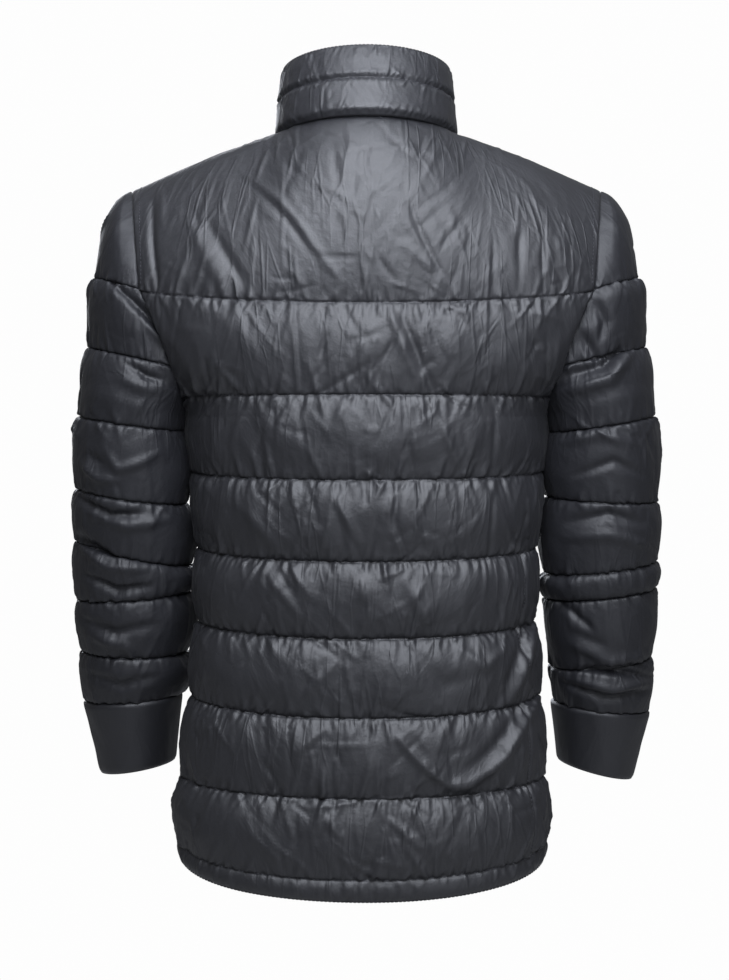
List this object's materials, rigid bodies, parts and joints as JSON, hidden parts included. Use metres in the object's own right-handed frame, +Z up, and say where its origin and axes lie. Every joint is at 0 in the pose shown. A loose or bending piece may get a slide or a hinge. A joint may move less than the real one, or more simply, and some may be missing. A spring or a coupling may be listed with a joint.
{
  "type": "quilted puffer jacket",
  "caption": "Hip-length quilted puffer jacket with a stand collar, set-in sleeves, plain cuffs and a front zip, filled out as worn.",
  "frame": {"origin": "between the shoulders, level with the foot of the collar, where the wearer's shoulders hold the jacket", "axes": "+Z up, the back faces +Y, the wearer's left is +X"},
  "size_m": [0.5772, 0.275, 0.7913],
  "materials": {
    "shell_cloth": "semi-gloss woven nylon, quilted and padded",
    "zip_tape": "dull woven tape",
    "zip_teeth": "moulded teeth",
    "zip_metal": "dark satin paint"
  },
  "bodies": {
    "jacket": {"back_panel": "shell_cloth", "front_left": "shell_cloth", "front_right": "shell_cloth", "sleeve_left": "shell_cloth", "sleeve_right": "shell_cloth", "cuff_left": "shell_cloth", "cuff_right": "shell_cloth", "collar": "shell_cloth", "zip_tape_left": "zip_tape", "zip_tape_right": "zip_tape", "zip_teeth_left": "zip_teeth", "zip_teeth_right": "zip_teeth", "zip_slider": "zip_metal"},
    "pull_tab": {"zip_pull": "zip_metal"}
  },
  "joints": [
    {"name": "pull_tab_swing", "type": "hinge", "parent": "jacket", "child": "pull_tab", "pos_m": [0, -0.08163, 0.0234], "axis": [-1, 0, 0], "range_deg": [0, 110]}
  ]
}
